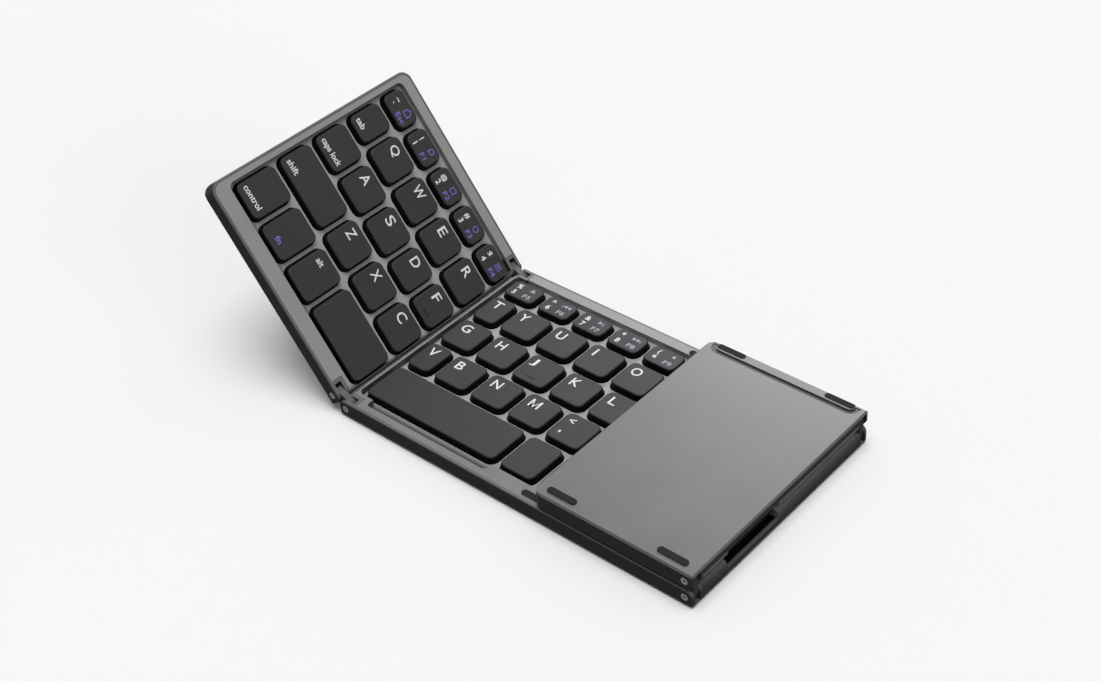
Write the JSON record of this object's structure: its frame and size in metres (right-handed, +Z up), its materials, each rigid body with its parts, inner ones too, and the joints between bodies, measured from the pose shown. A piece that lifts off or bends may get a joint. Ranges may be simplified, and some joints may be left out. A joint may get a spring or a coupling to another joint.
{
  "type": "folding keyboard",
  "caption": "Pocket keyboard in three panels: a middle panel and a key wing and a touch wing that fold over it on double-pin link hinges.",
  "frame": {"origin": "centre of the middle panel, on the surface that its feet stand on", "axes": "+X along the keyboard towards the touch wing, +Y from the user's side to the number row, +Z up out of the keys"},
  "size_m": [0.2058, 0.0955, 0.0741],
  "materials": {
    "casing": "fine bead-blasted, anodised grey",
    "frame": "satin grey paint on moulded plastic",
    "keycap": "fine matt texture, printed legends",
    "rubber": "matt",
    "link": "satin",
    "pin": "turned and polished head",
    "key_circuit": "film circuit on a backing sheet with rubber domes",
    "ribbon": "black polyimide film",
    "pad": "fine matt coating",
    "board": "solder mask",
    "port": "bright stamped shell",
    "cell": "foil pouch"
  },
  "bodies": {
    "middle": {"mid_casing": "casing", "mid_frame": "frame", "mid_circuit": "key_circuit", "mid_feet": "rubber", "bumpers": "rubber"},
    "left_link": {"left_links": "link", "left_pins": "pin"},
    "left_wing": {"left_casing": "casing", "left_frame": "frame", "left_circuit": "key_circuit", "left_feet": "rubber"},
    "right_link": {"right_links": "link", "right_pins": "pin", "right_ribbon": "ribbon"},
    "right_wing": {"right_casing": "casing", "right_frame": "frame", "main_board": "board", "charging_port": "port", "battery": "cell", "right_feet": "rubber"},
    "pad": {"touch_pad": "pad"},
    "key_tab_body": {"key_tab": "keycap"},
    "key_q_body": {"key_q": "keycap"},
    "key_w_body": {"key_w": "keycap"},
    "key_e_body": {"key_e": "keycap"},
    "key_r_body": {"key_r": "keycap"},
    "key_caps_body": {"key_caps": "keycap"},
    "key_a_body": {"key_a": "keycap"},
    "key_s_body": {"key_s": "keycap"},
    "key_d_body": {"key_d": "keycap"},
    "key_f_body": {"key_f": "keycap"},
    "key_shift_body": {"key_shift": "keycap"},
    "key_z_body": {"key_z": "keycap"},
    "key_x_body": {"key_x": "keycap"},
    "key_c_body": {"key_c": "keycap"},
    "key_control_body": {"key_control": "keycap"},
    "key_fn_body": {"key_fn": "keycap"},
    "key_alt_body": {"key_alt": "keycap"},
    "left_space_body": {"left_space": "keycap"},
    "left_number_keys_body": {"left_number_keys": "keycap"},
    "key_t_body": {"key_t": "keycap"},
    "key_y_body": {"key_y": "keycap"},
    "key_u_body": {"key_u": "keycap"},
    "key_i_body": {"key_i": "keycap"},
    "key_o_body": {"key_o": "keycap"},
    "key_g_body": {"key_g": "keycap"},
    "key_h_body": {"key_h": "keycap"},
    "key_j_body": {"key_j": "keycap"},
    "key_k_body": {"key_k": "keycap"},
    "key_l_body": {"key_l": "keycap"},
    "key_v_body": {"key_v": "keycap"},
    "key_b_body": {"key_b": "keycap"},
    "key_n_body": {"key_n": "keycap"},
    "key_m_body": {"key_m": "keycap"},
    "key_comma_body": {"key_comma": "keycap"},
    "mid_space_body": {"mid_space": "keycap"},
    "key_meta_body": {"key_meta": "keycap"},
    "mid_number_keys_body": {"mid_number_keys": "keycap"},
    "covered_keys_body": {"covered_keys": "keycap"}
  },
  "joints": [
    {"name": "fold_left", "type": "hinge", "parent": "middle", "child": "left_link", "pos_m": [-0.0725, 0, 0.0036], "axis": [0, 1, 0], "range_deg": [-26.5, 63.5]},
    {"name": "fold_left_wing", "type": "hinge", "parent": "left_link", "child": "left_wing", "pos_m": [-0.0785, 0, 0.00659], "axis": [0, 1, 0], "range_deg": [-26.5, 63.5]},
    {"name": "fold_right", "type": "hinge", "parent": "middle", "child": "right_link", "pos_m": [0.0725, 0, 0.0036], "axis": [0, 1, 0], "range_deg": [0, 90]},
    {"name": "fold_right_wing", "type": "hinge", "parent": "right_link", "child": "right_wing", "pos_m": [0.0725, 0, 0.0103], "axis": [0, 1, 0], "range_deg": [0, 90]},
    {"name": "click_pad", "type": "slide", "parent": "right_wing", "child": "pad", "axis": [0, 0, 1], "range_m": [0, 0.0003], "stiffness_N_per_m": 4000},
    {"name": "press_tab", "type": "slide", "parent": "left_wing", "child": "key_tab_body", "axis": [-0.7986, 0, -0.6018], "range_m": [0, 0.0012], "stiffness_N_per_m": 400},
    {"name": "press_q", "type": "slide", "parent": "left_wing", "child": "key_q_body", "axis": [-0.7986, 0, -0.6018], "range_m": [0, 0.0012], "stiffness_N_per_m": 400},
    {"name": "press_w", "type": "slide", "parent": "left_wing", "child": "key_w_body", "axis": [-0.7986, 0, -0.6018], "range_m": [0, 0.0012], "stiffness_N_per_m": 400},
    {"name": "press_e", "type": "slide", "parent": "left_wing", "child": "key_e_body", "axis": [-0.7986, 0, -0.6018], "range_m": [0, 0.0012], "stiffness_N_per_m": 400},
    {"name": "press_r", "type": "slide", "parent": "left_wing", "child": "key_r_body", "axis": [-0.7986, 0, -0.6018], "range_m": [0, 0.0012], "stiffness_N_per_m": 400},
    {"name": "press_caps", "type": "slide", "parent": "left_wing", "child": "key_caps_body", "axis": [-0.7986, 0, -0.6018], "range_m": [0, 0.0012], "stiffness_N_per_m": 400},
    {"name": "press_a", "type": "slide", "parent": "left_wing", "child": "key_a_body", "axis": [-0.7986, 0, -0.6018], "range_m": [0, 0.0012], "stiffness_N_per_m": 400},
    {"name": "press_s", "type": "slide", "parent": "left_wing", "child": "key_s_body", "axis": [-0.7986, 0, -0.6018], "range_m": [0, 0.0012], "stiffness_N_per_m": 400},
    {"name": "press_d", "type": "slide", "parent": "left_wing", "child": "key_d_body", "axis": [-0.7986, 0, -0.6018], "range_m": [0, 0.0012], "stiffness_N_per_m": 400},
    {"name": "press_f", "type": "slide", "parent": "left_wing", "child": "key_f_body", "axis": [-0.7986, 0, -0.6018], "range_m": [0, 0.0012], "stiffness_N_per_m": 400},
    {"name": "press_shift", "type": "slide", "parent": "left_wing", "child": "key_shift_body", "axis": [-0.7986, 0, -0.6018], "range_m": [0, 0.0012], "stiffness_N_per_m": 400},
    {"name": "press_z", "type": "slide", "parent": "left_wing", "child": "key_z_body", "axis": [-0.7986, 0, -0.6018], "range_m": [0, 0.0012], "stiffness_N_per_m": 400},
    {"name": "press_x", "type": "slide", "parent": "left_wing", "child": "key_x_body", "axis": [-0.7986, 0, -0.6018], "range_m": [0, 0.0012], "stiffness_N_per_m": 400},
    {"name": "press_c", "type": "slide", "parent": "left_wing", "child": "key_c_body", "axis": [-0.7986, 0, -0.6018], "range_m": [0, 0.0012], "stiffness_N_per_m": 400},
    {"name": "press_control", "type": "slide", "parent": "left_wing", "child": "key_control_body", "axis": [-0.7986, 0, -0.6018], "range_m": [0, 0.0012], "stiffness_N_per_m": 400},
    {"name": "press_fn", "type": "slide", "parent": "left_wing", "child": "key_fn_body", "axis": [-0.7986, 0, -0.6018], "range_m": [0, 0.0012], "stiffness_N_per_m": 400},
    {"name": "press_alt", "type": "slide", "parent": "left_wing", "child": "key_alt_body", "axis": [-0.7986, 0, -0.6018], "range_m": [0, 0.0012], "stiffness_N_per_m": 400},
    {"name": "press_left_space", "type": "slide", "parent": "left_wing", "child": "left_space_body", "axis": [-0.7986, 0, -0.6018], "range_m": [0, 0.0012], "stiffness_N_per_m": 400},
    {"name": "press_left_number_keys", "type": "slide", "parent": "left_wing", "child": "left_number_keys_body", "axis": [-0.7986, 0, -0.6018], "range_m": [0, 0.0012], "stiffness_N_per_m": 2000},
    {"name": "press_t", "type": "slide", "parent": "middle", "child": "key_t_body", "axis": [0, 0, -1], "range_m": [0, 0.0012], "stiffness_N_per_m": 400},
    {"name": "press_y", "type": "slide", "parent": "middle", "child": "key_y_body", "axis": [0, 0, -1], "range_m": [0, 0.0012], "stiffness_N_per_m": 400},
    {"name": "press_u", "type": "slide", "parent": "middle", "child": "key_u_body", "axis": [0, 0, -1], "range_m": [0, 0.0012], "stiffness_N_per_m": 400},
    {"name": "press_i", "type": "slide", "parent": "middle", "child": "key_i_body", "axis": [0, 0, -1], "range_m": [0, 0.0012], "stiffness_N_per_m": 400},
    {"name": "press_o", "type": "slide", "parent": "middle", "child": "key_o_body", "axis": [0, 0, -1], "range_m": [0, 0.0012], "stiffness_N_per_m": 400},
    {"name": "press_g", "type": "slide", "parent": "middle", "child": "key_g_body", "axis": [0, 0, -1], "range_m": [0, 0.0012], "stiffness_N_per_m": 400},
    {"name": "press_h", "type": "slide", "parent": "middle", "child": "key_h_body", "axis": [0, 0, -1], "range_m": [0, 0.0012], "stiffness_N_per_m": 400},
    {"name": "press_j", "type": "slide", "parent": "middle", "child": "key_j_body", "axis": [0, 0, -1], "range_m": [0, 0.0012], "stiffness_N_per_m": 400},
    {"name": "press_k", "type": "slide", "parent": "middle", "child": "key_k_body", "axis": [0, 0, -1], "range_m": [0, 0.0012], "stiffness_N_per_m": 400},
    {"name": "press_l", "type": "slide", "parent": "middle", "child": "key_l_body", "axis": [0, 0, -1], "range_m": [0, 0.0012], "stiffness_N_per_m": 400},
    {"name": "press_v", "type": "slide", "parent": "middle", "child": "key_v_body", "axis": [0, 0, -1], "range_m": [0, 0.0012], "stiffness_N_per_m": 400},
    {"name": "press_b", "type": "slide", "parent": "middle", "child": "key_b_body", "axis": [0, 0, -1], "range_m": [0, 0.0012], "stiffness_N_per_m": 400},
    {"name": "press_n", "type": "slide", "parent": "middle", "child": "key_n_body", "axis": [0, 0, -1], "range_m": [0, 0.0012], "stiffness_N_per_m": 400},
    {"name": "press_m", "type": "slide", "parent": "middle", "child": "key_m_body", "axis": [0, 0, -1], "range_m": [0, 0.0012], "stiffness_N_per_m": 400},
    {"name": "press_comma", "type": "slide", "parent": "middle", "child": "key_comma_body", "axis": [0, 0, -1], "range_m": [0, 0.0012], "stiffness_N_per_m": 400},
    {"name": "press_mid_space", "type": "slide", "parent": "middle", "child": "mid_space_body", "axis": [0, 0, -1], "range_m": [0, 0.0012], "stiffness_N_per_m": 400},
    {"name": "press_meta", "type": "slide", "parent": "middle", "child": "key_meta_body", "axis": [0, 0, -1], "range_m": [0, 0.0012], "stiffness_N_per_m": 400},
    {"name": "press_mid_number_keys", "type": "slide", "parent": "middle", "child": "mid_number_keys_body", "axis": [0, 0, -1], "range_m": [0, 0.0012], "stiffness_N_per_m": 3600},
    {"name": "press_covered_keys", "type": "slide", "parent": "middle", "child": "covered_keys_body", "axis": [0, 0, -1], "range_m": [0, 0.0012], "stiffness_N_per_m": 6000}
  ],
  "couplings": [
    {"joint": "fold_left_wing", "follows": "fold_left", "ratio": 1},
    {"joint": "fold_right_wing", "follows": "fold_right", "ratio": 1}
  ]
}
